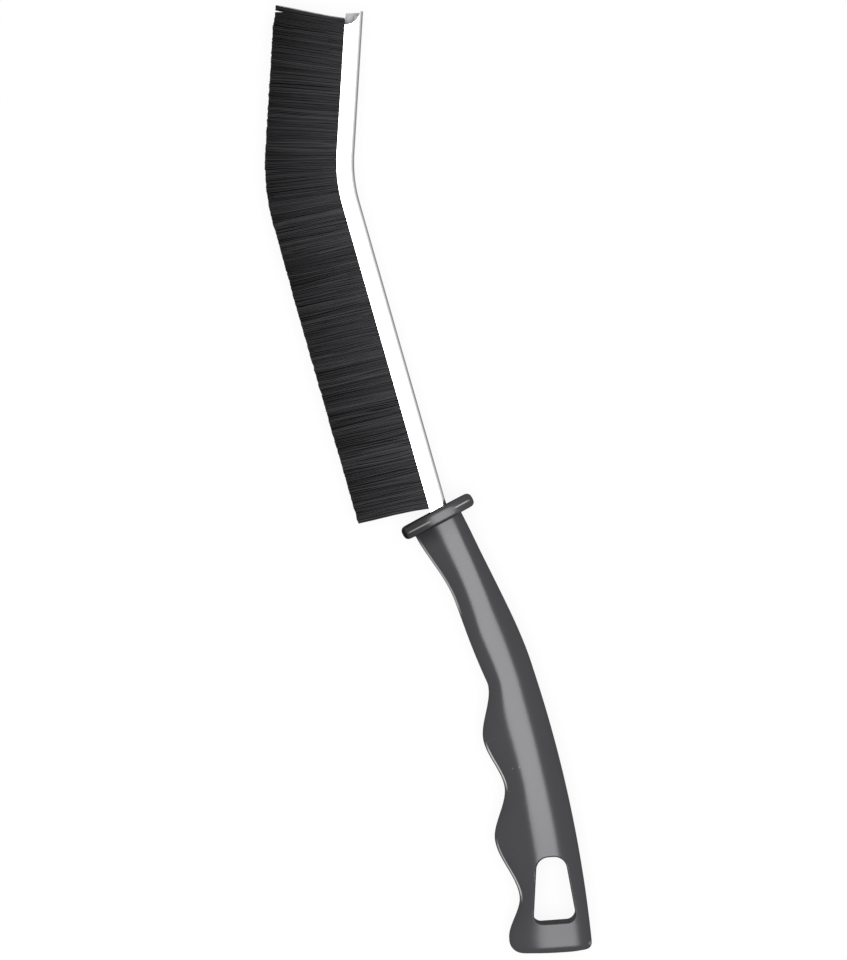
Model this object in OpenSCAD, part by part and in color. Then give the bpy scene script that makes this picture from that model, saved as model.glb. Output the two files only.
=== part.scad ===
// Grout and crevice brush: a row of stiff filaments held in a folded steel strip, with a moulded grip.
// It lies on its side. +Y runs from the grip to the brush head, +X from the filaments to the back of
// the strip, and +Z is up. The pieces are drawn about the strip's rear run, where x = 0 is the middle
// of the strip, y = 0 the top of the collar and z = 0 the parting plane, and are then set on the table.

/* [Steel strip] */
// Height of the folded strip, from its open mouth to its back
strip_h = 5; // [4.4:0.1:6.5]
// Width of the folded strip, over both walls
strip_w = 4.6; // [4.4:0.1:6]
// Thickness of the sheet
sheet_t = 0.5; // [0.4:0.05:0.6]
// Outside radius of the two folds at the back
fold_r = 1.3; // [1:0.1:1.6]
// Straight length from the collar to the bend
rear_run = 90; // [70:1:120]
// Straight length from the bend to the tip
front_run = 40; // [25:1:60]
// Angle of the bend
bend_angle = 19.5; // [8:0.5:30]
// Radius of the bend, at the middle of the strip
bend_r = 43.5; // [35:0.5:60]
// Slant of the cut at the tip, which leaves the back of the strip longer than its mouth
tip_slant = 6; // [0:0.5:10]
// Radius of the bite sheared from the upper wall at the tip
tip_bite_r = 3.8; // [2:0.1:4]
// Length of the tang, from the top of the collar
tang_length = 18; // [14:0.5:20]
// Radius of the hole through the tang, which the plastic fills
anchor_r = 1.1; // [0.8:0.1:1.5]
// Distance from the tang's end to the middle of that hole
anchor_inset = 5; // [3:0.5:8]

/* [Filaments] */
// Length of the filaments outside the strip
trim = 20.6; // [15:0.1:30]
// Width of a strand, and of the space before the next one along the strip
strand_w = 0.52; // [0.5:0.01:0.7]
// Distance between the rows of strands where they stand in their backing
row_gap = 1.1; // [0.9:0.05:1.2]
// Distance between the rows of strands at their tips
row_spread = 1.75; // [1.2:0.05:2.5]
// Depth of the strands' backing inside the mouth of the strip
backing_inset = 1; // [0.6:0.1:1.2]
// Bare strip between the tip and the first filaments
tip_bare = 1.7; // [1:0.1:4]
// Bare strip between the collar and the last filaments
collar_bare = 1; // [0.8:0.1:4]
// Lean of the filaments towards the tip along the rear run
rear_lean = 3; // [0:0.5:4]
// Lean of the filaments where the front run leaves the bend
front_lean = -2; // [-4:0.5:2]
// Lean of the filaments beside the tip
tip_lean = 6; // [0:0.5:8]

/* [Core wire] */
// Radius of the wire that the filaments are folded over
wire_r = 0.8; // [0.6:0.05:0.9]
// Thickness of the filaments folded behind the wire
fold_layer = 0.6; // [0.4:0.05:0.8]
// Distance that the wire stays inside the tip
wire_inset = 0.8; // [0.5:0.1:2]
// Length of wire that the collar holds
wire_seat = 2; // [1:0.5:4]

/* [Collar] */
// Thickness of the collar, whose edge is fully round
collar_t = 4; // [3:0.1:5]
// Reach of the collar on the finger side
collar_finger = 11.6; // [11:0.1:14]
// Reach of the collar on the back
collar_back = 11.1; // [10:0.1:14]
// Reach of the collar above and below the parting plane
collar_half = 9.2; // [8.8:0.1:12]
// Distance that the strip stands behind the middle of the collar
strip_setback = 0.5; // [0:0.1:1]
// Radius of the fillet under the collar
collar_fillet = 0.7; // [0.4:0.1:1.2]

/* [Grip, along its spine] */
// From the middle of the collar to the notch in front of the index finger
neck_span = 50; // [45:0.5:60]
// From the notch to the top of the first swell
first_rise = 16; // [12:0.5:20]
// From the first swell to the first finger hollow
first_fall = 14; // [11:0.5:20]
// From the first hollow to the second swell
second_rise = 15.3; // [11:0.1:20]
// From the second swell to the second finger hollow
second_fall = 17.3; // [14:0.1:22]
// From the second hollow to the heel
heel_rise = 11.9; // [9:0.1:16]
// From the heel to the end
heel_drop = 4.5; // [4.5:0.1:8]
// Length over which the neck takes most of its bend
neck_arc = 22; // [18:0.5:32]
// Length of the waist, where the neck stays at its narrowest
waist_span = 8; // [4:0.5:10]
// Lean of the grip's spine at the collar
collar_lean = 12; // [8:0.5:14]
// Lean of the spine where the neck ends
neck_lean = 5; // [2:0.5:8]
// Lean of the spine at the end of the grip
end_lean = -12; // [-18:0.5:-4]

/* [Grip, finger side] */
// Reach under the collar
finger_collar = 8.6; // [7.5:0.05:8.8]
// Reach at the waist
finger_waist = 6.05; // [5.8:0.05:7]
// Reach at the notch
finger_notch = 4.8; // [4:0.05:5.5]
// Reach at the first swell
finger_first_swell = 10.3; // [8:0.05:12]
// Reach at the first hollow
finger_first_hollow = 7.4; // [6:0.05:9]
// Reach at the second swell
finger_second_swell = 12.9; // [10:0.1:14]
// Reach at the second hollow
finger_second_hollow = 8.2; // [7.6:0.1:10]
// Reach at the heel
finger_heel = 12.35; // [11:0.05:14]
// Radius of the heel's corner
heel_r = 3.8; // [2:0.1:4.4]

/* [Grip, back and thickness] */
// Reach of the back along the neck
back_neck = 6.1; // [5.8:0.1:7]
// Length of the neck before its back begins to rise
back_straight = 8; // [4:0.5:14]
// Reach of the back beside the notch
back_notch = 8.9; // [8:0.05:10]
// Reach of the back at the end
back_end = 11.1; // [10:0.1:13]
// Radius of the back's corner at the end
back_r = 1.9; // [1:0.1:3]
// Half the thickness of the neck
neck_half = 6.2; // [5.6:0.1:7]
// Half the thickness where the palm closes
palm_half = 7.7; // [6.5:0.1:8.5]
// Half the thickness at the end
end_half = 5.8; // [4.5:0.1:7]
// Radius of the edge round the end face
end_edge_r = 2.4; // [1:0.1:3.5]
// Distance of the crown of the section behind the spine
crown_shift = 0.8; // [0:0.1:1.2]
// Height of the end face's bulge
end_bulge = 0.6; // [0.2:0.1:1]
// Fullness of the section, where 2 is an ellipse
fullness = 2.25; // [2:0.05:2.8]

/* [Hanging eye] */
// Length of the eye
eye_length = 18; // [12:0.1:20]
// Width of the eye at the palm end
eye_top_w = 7.9; // [7:0.1:9]
// Width of the eye at the bar
eye_bottom_w = 12.3; // [9:0.1:12.6]
// Corner radius at the palm end
eye_top_r = 3.6; // [2:0.1:3.8]
// Corner radius at the bar
eye_bottom_r = 2.3; // [1:0.1:3.2]
// Width of the bar between the eye and the end of the grip
eye_bar = 8.8; // [5:0.1:10]
// Distance of the eye behind the spine
eye_shift = 1; // [0.4:0.1:1.6]

/* [Clearances] */
// Gap between the tang and the plastic moulded round it
mould_gap = 0.05; // [0.02:0.01:0.1]
// Gap between the filaments, the wire and the strip
pack_gap = 0.05; // [0.02:0.01:0.1]

/* [Hidden] */

plastic = [0.29, 0.29, 0.3];
steel = [0.86, 0.87, 0.88];
wire_steel = [0.6, 0.61, 0.63];
nylon = [0.08, 0.08, 0.085];

round_fn = 48;
section_sides = 36;
ring_step = 2;
rim_steps = 6;
fillet_steps = 3;
corner_steps = 6;
end_rings = [1, 0.66, 0.33];
rows = [-1, 0, 1];
past = 1;
bend_flats = 12;
wire_sides = 24;
all_through = 4 * collar_half;

// A smooth step from a to b while s goes from s0 to s1, level at both ends
function easing(s, s0, s1, a, b) =
    let (t = min(1, max(0, (s - s0) / (s1 - s0)))) a + (b - a) * t * t * (3 - 2 * t);

// Unit vectors in the drawing plane: along a line that leans by a from -Y, and square to it
function down(a) = [sin(a), -cos(a), 0];
function across(a) = [cos(a), sin(a), 0];

// One corner of an outline that runs anticlockwise, rounded to radius r
function round_corner(before, corner, after, r) =
    let (
        a = (before - corner) / norm(before - corner),
        b = (after - corner) / norm(after - corner),
        half = acos(a * b) / 2,
        centre = corner + (a + b) / norm(a + b) * r / sin(half),
        start = corner + a * r / tan(half) - centre,
        from = atan2(start[1], start[0])
    )
    [for (k = [0:corner_steps])
        let (t = from + (180 - 2 * half) * k / corner_steps) centre + r * [cos(t), sin(t)]];

// An outline with each corner rounded to its own radius, where 0 keeps it sharp
function rounded(corners, radii) =
    let (n = len(corners))
    [for (i = [0:n - 1])
        each radii[i] == 0 ? [corners[i]]
            : round_corner(corners[(i + n - 1) % n], corners[i], corners[(i + 1) % n], radii[i])];

// The strip's path: straight, an arc of the bend's radius, and straight again
bend_length = bend_r * bend_angle * PI / 180;
bend_end = rear_run + bend_length;
path_end = bend_end + front_run;
bend_centre = [bend_r, rear_run, 0];

// How far the path has turned at a distance p along it, and its directions there
function turned(p) = bend_angle * min(1, max(0, (p - rear_run) / bend_length));
function forward(p) = [sin(turned(p)), cos(turned(p)), 0];
function outward(p) = [-cos(turned(p)), sin(turned(p)), 0];

// The point at a distance p along the path, u towards the filaments and z up
function on_path(p, u, z) =
    bend_centre + (bend_r + u) * outward(p) + [0, 0, z]
    + (p < rear_run ? p - rear_run : p > bend_end ? p - bend_end : 0) * forward(p);

// Depths inside the strip, counted from its middle towards the filaments
half_h = strip_h / 2;
channel_u = sheet_t - half_h;
wire_u = channel_u + fold_layer + wire_r;
fold_top_u = wire_u + wire_r;
backing_bottom_u = fold_top_u + pack_gap;
backing_top_u = half_h - backing_inset;
pack_half = strip_w / 2 - sheet_t - pack_gap;

// Where each run of filaments starts and ends along the path
rear_span = [collar_bare, rear_run - pack_gap / 2];
bend_span = [rear_run + pack_gap / 2, bend_end - pack_gap / 2];
front_span = [bend_end + pack_gap / 2, path_end - tip_bare];

// Lean of the filaments towards the tip: it changes through the bend and again up to the tip
function strand_lean(p) =
    p < bend_end ? easing(p, rear_run, bend_end, rear_lean, front_lean)
    : easing(p, bend_end, path_end, front_lean, tip_lean);

// Lines across the backing, between which the rows of strands stand
lines = concat(
    [-pack_half],
    [for (r = rows, side = [-1, 1]) r * row_gap + side * strand_w / 2],
    [pack_half]
);
columns = len(lines) - 1;

function cell_count(span) = round((span[1] - span[0]) / strand_w);

// The cells of the backing that carry a strand: odd columns, staggered from row to row
function has_strand(i, j) = j % 2 == 1 && (i + (j - 1) / 2) % 2 == 0;
function strand_cells(span) =
    [for (i = [0:cell_count(span) - 1], j = [0:columns - 1]) if (has_strand(i, j)) [i, j]];

// The four corners of a strand's tip, which lies on the trimmed outline
function strand_tip(span, cell) =
    let (
        step = (span[1] - span[0]) / cell_count(span),
        p = span[0] + (cell[0] + 0.5) * step,
        z = (lines[cell[1]] + lines[cell[1] + 1]) / 2 * row_spread / row_gap,
        lean_shift = (trim + backing_inset) * tan(strand_lean(p)),
        middle = on_path(p, half_h + trim, z) + lean_shift * forward(p)
    )
    [for (c = [[-1, -1], [1, -1], [1, 1], [-1, 1]])
        middle + c[0] * step / 2 * forward(p) + [0, 0, c[1] * strand_w / 2]];

function strand_tips(span) = [for (cell = strand_cells(span)) each strand_tip(span, cell)];

// Two triangles for a four-sided face whose points a, b, c, d run anticlockwise seen from outside
function split(a, b, c, d) = [[a, c, b], [a, d, c]];

// Faces of a band that joins two rings of n points, the first starting at index a and the other at b
function band(a, b, n) =
    [for (i = [0:n - 1]) let (j = (i + 1) % n) each split(a + i, a + j, b + j, b + i)];

// A run of strands fused to their backing, as one closed mesh. The backing is a grid of cells, and a
// strand rises from each cell that strand_cells lists.
module strand_run(span) {
    n = cell_count(span);
    across_count = columns + 1;
    floor_start = (n + 1) * across_count;
    tip_start = floor_start + (n + 1) * 2;
    cells = strand_cells(span);
    grid = [for (i = [0:n], z = lines) on_path(span[0] + (span[1] - span[0]) * i / n, backing_top_u, z)];
    floor_points = [for (i = [0:n], z = [-pack_half, pack_half])
        on_path(span[0] + (span[1] - span[0]) * i / n, backing_bottom_u, z)];
    flats = [for (i = [0:n - 1], j = [0:columns - 1]) if (!has_strand(i, j))
        let (a = i * across_count + j) each split(a, a + 1, a + across_count + 1, a + across_count)];
    strands = [for (q = [0:len(cells) - 1])
        let (
            a = cells[q][0] * across_count + cells[q][1],
            b = a + across_count,
            t = tip_start + 4 * q
        )
        each concat(
            split(a, t, t + 1, b), split(b, t + 1, t + 2, b + 1),
            split(b + 1, t + 2, t + 3, a + 1), split(a + 1, t + 3, t, a),
            split(t, t + 3, t + 2, t + 1)
        )];
    sides = [for (i = [0:n - 1])
        let (a = i * across_count, b = a + across_count, f = floor_start + 2 * i)
        each concat(
            split(a, b, f + 2, f), split(f + 1, f + 3, b + columns, a + columns),
            split(f, f + 2, f + 3, f + 1)
        )];
    top = n * across_count;
    under = floor_start + 2 * n;
    ends = concat(
        [for (j = [0:columns - 1]) [floor_start, j, j + 1]], [[floor_start, columns, floor_start + 1]],
        [for (j = [columns:-1:1]) [under, top + j, top + j - 1]], [[under, under + 1, top + columns]]
    );
    polyhedron(
        concat(grid, floor_points, strand_tips(span)),
        concat(flats, strands, sides, ends),
        convexity = 10
    );
}

// A rectangle from x0 to x1, half of it on each side of the x axis, rounded at x1
function back_rounded(x0, x1, half_w, r) =
    rounded([[x0, -half_w], [x1, -half_w], [x1, half_w], [x0, half_w]], [0, r, r, 0]);

// One face of the folded sheet, at a depth under its outer face. x runs to the back of the strip.
function sheet_face(depth, mouth_gap) =
    back_rounded(-half_h - mouth_gap, half_h - depth, strip_w / 2 - depth, fold_r - depth);

// The outline of the folded sheet, grown by gap on both of its faces
function strip_outline(gap) =
    let (inner = sheet_face(sheet_t + gap, gap))
    concat(sheet_face(-gap, gap), [for (i = [len(inner) - 1:-1:0]) inner[i]]);

wire_outline = [for (k = [0:wire_sides - 1])
    let (t = 360 * k / wire_sides) wire_r * [cos(t), sin(t)] - [wire_u, 0]];

// The outline of the filaments where they are folded round the wire
module fold_outline() {
    difference() {
        polygon(back_rounded(-fold_top_u, -channel_u - pack_gap, pack_half, fold_r - sheet_t - pack_gap));
        wire_circle(pack_gap);
    }
}

// An outline drawn across the strip, drawn out along one of its three runs. y0 and y1 count from the
// start of a straight run, and spare is what the bend leaves free at each of its ends.
module along_rear(y0, y1) {
    translate([0, y1, 0]) rotate([90, 0, 0]) linear_extrude(y1 - y0) children();
}

module round_bend(spare) {
    spare_angle = spare / bend_r * 180 / PI;
    translate(bend_centre)
        rotate([0, 0, 180 - bend_angle + spare_angle])
            rotate_extrude(angle = bend_angle - 2 * spare_angle, $fn = 8 * round_fn)
                translate([bend_r, 0]) mirror([1, 0]) children();
}

module front_frame() {
    translate(bend_centre) rotate([0, 0, -bend_angle]) translate([-bend_r, 0, 0]) children();
}

module along_front(y0, y1) {
    front_frame() along_rear(y0, y1) children();
}

// The pin of plastic that fills the hole through the tang
module anchor(r, length) {
    translate([0, anchor_inset - tang_length, 0]) cylinder(length, r = r, center = true, $fn = round_fn);
}

// An outline carried along the path from p0 to p1 as one closed mesh, in short flats round the bend.
// cap lists the triangles that fill the outline.
module carried(outline, cap, p0, p1) {
    n = len(outline);
    stations = concat([p1], [for (k = [bend_flats:-1:0]) rear_run + bend_length * k / bend_flats], [p0]);
    last = (len(stations) - 1) * n;
    points = [for (p = stations, q = outline) on_path(p, -q[0], q[1])];
    sides = [for (k = [0:len(stations) - 2]) each band(k * n, (k + 1) * n, n)];
    far_cap = [for (t = cap) [last + t[0], last + t[2], last + t[1]]];
    polyhedron(points, concat(sides, cap, far_cap), convexity = 10);
}

// Triangles that fill the strip's outline, whose inner face runs back along its outer face
sheet_cap = [for (i = [0:len(strip_outline(0)) / 2 - 2])
    let (b = len(strip_outline(0)) - 1 - i) each [[i, i + 1, b - 1], [i, b - 1, b]]];
round_cap = [for (i = [1:wire_sides - 2]) [0, i, i + 1]];

module steel_strip() {
    color(steel) difference() {
        carried(strip_outline(0), sheet_cap, -tang_length, path_end);
        anchor(anchor_r, strip_w + 2 * past);
        front_frame() {
            translate([-half_h, front_run, 0]) cylinder(strip_w, r = tip_bite_r, $fn = round_fn);
            translate([half_h, front_run, 0]) rotate([0, 0, tip_slant])
                translate([-2 * strip_h, 0, -strip_w]) cube([4 * strip_h, strip_h, 2 * strip_w]);
        }
    }
}

module core_wire() {
    color(wire_steel) carried(wire_outline, round_cap, -wire_seat, path_end - wire_inset);
}

module wire_circle(gap) {
    translate([-wire_u, 0]) circle(wire_r + gap, $fn = round_fn);
}

module front_filaments() {
    color(nylon) {
        strand_run(front_span);
        along_front(front_span[0] - bend_end, front_span[1] - bend_end) fold_outline();
    }
}

module bend_filaments() {
    color(nylon) {
        strand_run(bend_span);
        round_bend(pack_gap / 2) fold_outline();
    }
}

module rear_filaments() {
    color(nylon) {
        strand_run(rear_span);
        along_rear(rear_span[0], rear_span[1]) fold_outline();
    }
}

// Stations of the grip, measured along its spine from the middle of the collar
rim_r = collar_t / 2;
neck_end_at = rim_r + neck_arc;
waist_end_at = neck_end_at + waist_span;
notch_at = neck_span;
first_swell_at = notch_at + first_rise;
first_hollow_at = first_swell_at + first_fall;
second_swell_at = first_hollow_at + second_rise;
second_hollow_at = second_swell_at + second_fall;
heel_at = second_hollow_at + heel_rise;
end_at = heel_at + heel_drop;

// The spine is straight through the collar, and then two arcs: the neck turns quickly, the rest slowly
collar_middle = [-strip_setback, -(rim_r + strip_setback * sin(collar_lean)) / cos(collar_lean), 0];

function lean(s) =
    s <= rim_r ? collar_lean
    : s < neck_end_at ? collar_lean + (neck_lean - collar_lean) * (s - rim_r) / neck_arc
    : neck_lean + (end_lean - neck_lean) * (s - neck_end_at) / (end_at - neck_end_at);

function arc_to(start, lean_a, lean_b, length) =
    let (half = (lean_b - lean_a) / 2)
    start + (half == 0 ? length : length * sin(half) / (half * PI / 180)) * down(lean_a + half);

neck_start = collar_middle + rim_r * down(collar_lean);
neck_end = arc_to(neck_start, collar_lean, neck_lean, neck_arc);

function spine(s) =
    s <= rim_r ? collar_middle + s * down(collar_lean)
    : s <= neck_end_at ? arc_to(neck_start, collar_lean, lean(s), s - rim_r)
    : arc_to(neck_end, neck_lean, lean(s), s - neck_end_at);

// The finger side past the notch: where it changes direction, and its reach there
finger_marks = [
    [notch_at, finger_notch],
    [first_swell_at, finger_first_swell],
    [first_hollow_at, finger_first_hollow],
    [second_swell_at, finger_second_swell],
    [second_hollow_at, finger_second_hollow],
    [heel_at, finger_heel]
];

function between_marks(s, k) =
    k == len(finger_marks) - 1 ? finger_heel
    : s > finger_marks[k + 1][0] ? between_marks(s, k + 1)
    : easing(s, finger_marks[k][0], finger_marks[k + 1][0], finger_marks[k][1], finger_marks[k + 1][1]);

// Reach of the grip from its spine: on the finger side, on the back, and above and below
function finger(s) =
    s < waist_end_at ? easing(s, rim_r, neck_end_at, finger_collar, finger_waist)
    : s < notch_at ?
        let (t = (s - waist_end_at) / (notch_at - waist_end_at))
        finger_waist + (finger_notch - finger_waist) * t * t
    : between_marks(s, 0);

function back(s) =
    s < notch_at ? easing(s, rim_r + back_straight, notch_at, back_neck, back_notch)
    : back_notch + (back_end - back_notch) * (s - notch_at) / (end_at - notch_at);

function half(s) =
    s < first_hollow_at ? easing(s, neck_end_at, first_hollow_at, neck_half, palm_half)
    : easing(s, first_hollow_at, end_at, palm_half, end_half);

// What a corner of radius r at the end of the grip takes off a reach
function cut(s, r) = let (d = max(0, s - end_at + r)) r - sqrt(max(0, r * r - d * d));

// A ring of points square to the spine: two half superellipses that meet at the crown
function ring(s, finger_reach, back_reach, half_reach) =
    [for (i = [0:section_sides - 1])
        let (
            t = 360 * i / section_sides,
            side = cos(t) < 0 ? -1 : 1,
            top = sin(t) < 0 ? -1 : 1,
            reach = cos(t) < 0 ? finger_reach + crown_shift : back_reach - crown_shift,
            x = crown_shift + side * reach * pow(abs(cos(t)), 2 / fullness),
            z = top * half_reach * pow(abs(sin(t)), 2 / fullness)
        )
        spine(s) + x * across(lean(s)) + [0, 0, z]];

function grip_ring(s, flare) =
    ring(
        s,
        finger(s) + flare - cut(s, heel_r),
        back(s) + flare - cut(s, back_r),
        half(s) + flare - cut(s, end_edge_r)
    );

// A ring of the bulged end face, at a share k of the way out from its middle
function end_ring(k) =
    ring(
        end_at + end_bulge * (1 - k * k),
        k * (finger_heel - heel_r),
        k * (back_end - back_r),
        k * (end_half - end_edge_r)
    );

// Stations of the plain grip, then closer together round the corners of the end
grip_start = rim_r + collar_fillet;
corner_start = end_at - max(heel_r, back_r, end_edge_r);
grip_count = ceil((corner_start - grip_start) / ring_step);

rings = concat(
    [for (k = [0:rim_steps]) let (t = 180 * k / rim_steps, inset = rim_r * (1 - sin(t)))
        ring(-rim_r * cos(t), collar_finger - inset, collar_back - inset, collar_half - inset)],
    [for (k = [0:fillet_steps]) let (t = 90 * k / fillet_steps)
        grip_ring(rim_r + collar_fillet * (1 - cos(t)), collar_fillet * (1 - sin(t)))],
    [for (k = [1:grip_count]) grip_ring(grip_start + (corner_start - grip_start) * k / grip_count, 0)],
    [for (k = [1:corner_steps - 1])
        grip_ring(corner_start + (end_at - corner_start) * sin(90 * k / corner_steps), 0)],
    [for (k = end_rings) end_ring(k)]
);

handle_points = [for (r = rings) each r];

module handle_body() {
    n = section_sides;
    last = (len(rings) - 1) * n;
    sides = [for (k = [0:len(rings) - 2]) each band(k * n, (k + 1) * n, n)];
    ends = [[for (i = [0:n - 1]) i], [for (i = [n - 1:-1:0]) last + i]];
    polyhedron(handle_points, concat(sides, ends), convexity = 10);
}

// The eye's outline, drawn with the end of the spine as its origin and +Y back up the grip
eye_outline = rounded(
    [
        [eye_shift - eye_bottom_w / 2, eye_bar],
        [eye_shift + eye_bottom_w / 2, eye_bar],
        [eye_shift + eye_top_w / 2, eye_bar + eye_length],
        [eye_shift - eye_top_w / 2, eye_bar + eye_length]
    ],
    [eye_bottom_r, eye_bottom_r, eye_top_r, eye_top_r]
);

module hanging_eye() {
    translate(spine(end_at)) rotate([0, 0, end_lean])
        linear_extrude(all_through, center = true) polygon(eye_outline);
}

// The space that the tang and the wire take up in the plastic, less the pin that fills the hole
module tang_space() {
    difference() {
        along_rear(-tang_length - mould_gap, past) polygon(strip_outline(mould_gap));
        anchor(anchor_r - mould_gap, strip_w + 2 * past);
    }
    along_rear(-wire_seat - mould_gap, past) wire_circle(mould_gap);
}

module handle() {
    color(plastic) difference() {
        handle_body();
        tang_space();
        hanging_eye();
    }
}

// The whole model is set down with its lowest point on z = 0 and the middle of its outline at the origin
tip_corner = on_path(path_end, -half_h, 0);
outer_points = concat(handle_points, [tip_corner], strand_tips(front_span), strand_tips(rear_span));
xs = [for (p = outer_points) p[0]];
ys = [for (p = outer_points) p[1]];
set_down = [-(min(xs) + max(xs)) / 2, -(min(ys) + max(ys)) / 2, -min([for (p = handle_points) p[2]])];

translate(set_down) handle();
translate(set_down) steel_strip();
translate(set_down) core_wire();
translate(set_down) front_filaments();
translate(set_down) bend_filaments();
translate(set_down) rear_filaments();
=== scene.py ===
import math
import random

import bmesh
import bpy
from mathutils import Matrix, Vector, noise


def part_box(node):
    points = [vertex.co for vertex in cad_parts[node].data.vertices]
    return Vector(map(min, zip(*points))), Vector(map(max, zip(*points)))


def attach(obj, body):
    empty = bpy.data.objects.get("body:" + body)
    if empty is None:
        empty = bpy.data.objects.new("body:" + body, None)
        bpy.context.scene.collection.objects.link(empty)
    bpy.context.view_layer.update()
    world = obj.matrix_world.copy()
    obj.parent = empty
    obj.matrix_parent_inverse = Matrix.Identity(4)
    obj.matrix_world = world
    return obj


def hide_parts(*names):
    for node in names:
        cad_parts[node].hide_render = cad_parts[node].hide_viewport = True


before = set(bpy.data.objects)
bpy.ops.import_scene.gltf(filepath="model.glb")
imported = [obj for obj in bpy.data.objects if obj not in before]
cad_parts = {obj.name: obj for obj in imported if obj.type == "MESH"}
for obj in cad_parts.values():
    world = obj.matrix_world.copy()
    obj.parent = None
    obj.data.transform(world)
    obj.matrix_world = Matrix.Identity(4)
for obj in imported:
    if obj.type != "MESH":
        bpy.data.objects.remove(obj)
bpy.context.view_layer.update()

# The handle is one injection moulding in dark grey plastic: an oval collar that stops the hand from
# sliding forward, a neck, a grip with three finger hollows, and an eye to hang it by. It is moulded
# straight onto the strip. Sizes are in millimetres, from where the strip comes out of the handle.
MM = 0.001
STRIP_H = 5.0
TANG_LENGTH = 18.0

strip_low, strip_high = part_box("steel_strip")
DRAWING_ORIGIN = Vector((
    strip_low.x + STRIP_H / 2 * MM,
    strip_low.y + TANG_LENGTH * MM,
    (strip_low.z + strip_high.z) / 2,
))

# The collar: how far it reaches to the fingers, to the back and up, the powers that make its rim and
# its oval fuller than round, and how far the spine leans at the collar, the neck and the grip's end.
COLLAR_T = 4.0
COLLAR_FINGER = 11.6
COLLAR_BACK = 10.7
COLLAR_HALF = 9.2
STRIP_SETBACK = 0.5
COLLAR_FILLET = 0.35
RIM_POWER = 2.7
TOP_RIM_POWERS = (3.4, 6.0)
COLLAR_FULLNESS = 2.5
COLLAR_SKEW = 1.3
COLLAR_LEAN = 12.0
NECK_LEAN = 5.0
END_LEAN = -12.0

# Places along the spine, from the collar's middle, then how far the skin reaches there to the fingers,
# to the back and up, and the corners at the grip's end.
NECK_END_AT = 24.0
WAIST_END_AT = 32.0
NOTCH_AT = 50.0
FIRST_HOLLOW_AT = 80.0
END_AT = 129.0
FINGER_COLLAR = 8.6
FINGER_WAIST = 6.05
FINGER_NOTCH = 4.8
FINGER_MARKS = [
    (NOTCH_AT, FINGER_NOTCH), (66.0, 10.3), (FIRST_HOLLOW_AT, 7.4), (95.3, 12.9), (112.6, 8.2),
    (124.5, 12.35),
]
BACK_STRAIGHT = 8.0
BACK_NECK = 6.1
BACK_NOTCH = 8.9
BACK_END = 11.1
NECK_HALF = 6.2
PALM_HALF = 7.7
END_HALF = 5.8
HEEL_R = 3.8
BACK_R = 1.9
END_EDGE_R = 1.7
END_BULGE = 0.6

# The crown is a flat band: how far to the back of the spine it runs, and its width. The skin slopes off
# on both sides of it.
CROWN_MARKS = [
    (2.0, 1.2), (12.0, 0.8), (24.0, 0.65), (34.0, 0.35), (48.0, 1.05), (57.0, 0.8), (74.0, 1.1),
    (100.0, 1.6), (126.0, 3.5),
]
BAND_MARKS = [
    (2.0, 6.2), (20.0, 5.9), (28.0, 6.1), (36.0, 7.2), (46.0, 6.4), (54.0, 7.2), (72.0, 6.7),
    (100.0, 7.0), (126.0, 16.1),
]
BAND_SLOPE = 0.156
FLANK_SLOPE = 0.38
DEEPEST_DROP = 0.7
EDGE_POWER = 3.6

SECTION_SAMPLES = 200
SECTION_SIDES = 128
RING_STEP = 0.5
RIM_RINGS = 28
FILLET_RINGS = 7
CORNER_RINGS = 14
END_RINGS = 8
PLACING_TRIES = 10

# The eye starts a bar's width from the grip's end and narrows towards the palm.
EYE_LENGTH = 18.75
EYE_TOP_W = 7.9
EYE_BOTTOM_W = 12.3
EYE_TOP_R = 3.6
EYE_BOTTOM_R = 2.3
EYE_BAR = 8.45
EYE_SHIFT = 0.92
EYE_EDGE_R = 0.55
EYE_DRAFT = 0.3
EYE_CORNER_STEPS = 10
EYE_FLARE_STEP = 15
PLUG_STANDS_OUT = 2.2

RIM_R = COLLAR_T / 2


def easing(s, s0, s1, a, b):
    """A value that eases from a at s0 to b at s1, and stays as it is on either side."""
    t = min(1.0, max(0.0, (s - s0) / (s1 - s0)))
    return a + (b - a) * t * t * (3 - 2 * t)


def along(marks, s):
    """A value that eases from each mark, a place and a value, to the next."""
    for (s0, a), (s1, b) in zip(marks, marks[1:]):
        if s <= s1:
            return easing(s, s0, s1, a, b)
    return marks[-1][1]


def down(lean):
    """The spine's direction towards the grip's end, for a lean in degrees."""
    return Vector((math.sin(math.radians(lean)), -math.cos(math.radians(lean)), 0))


def across(lean):
    """The direction square to the spine towards the grip's back."""
    return Vector((math.cos(math.radians(lean)), math.sin(math.radians(lean)), 0))


def arc_to(start, lean_a, lean_b, length):
    """The end of an arc of a given length, which starts along lean_a and ends along lean_b."""
    half = (lean_b - lean_a) / 2
    chord = length if half == 0 else length * math.sin(math.radians(half)) / math.radians(half)
    return start + chord * down(lean_a + half)


collar_middle = Vector((
    -STRIP_SETBACK,
    -(RIM_R + STRIP_SETBACK * math.sin(math.radians(COLLAR_LEAN))) / math.cos(math.radians(COLLAR_LEAN)),
    0,
))
neck_start = collar_middle + RIM_R * down(COLLAR_LEAN)
neck_end = arc_to(neck_start, COLLAR_LEAN, NECK_LEAN, NECK_END_AT - RIM_R)


def lean_at(s):
    """The spine's lean in degrees at a distance s from the collar's middle."""
    if s <= RIM_R:
        return COLLAR_LEAN
    if s < NECK_END_AT:
        return COLLAR_LEAN + (NECK_LEAN - COLLAR_LEAN) * (s - RIM_R) / (NECK_END_AT - RIM_R)
    return NECK_LEAN + (END_LEAN - NECK_LEAN) * (s - NECK_END_AT) / (END_AT - NECK_END_AT)


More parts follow.
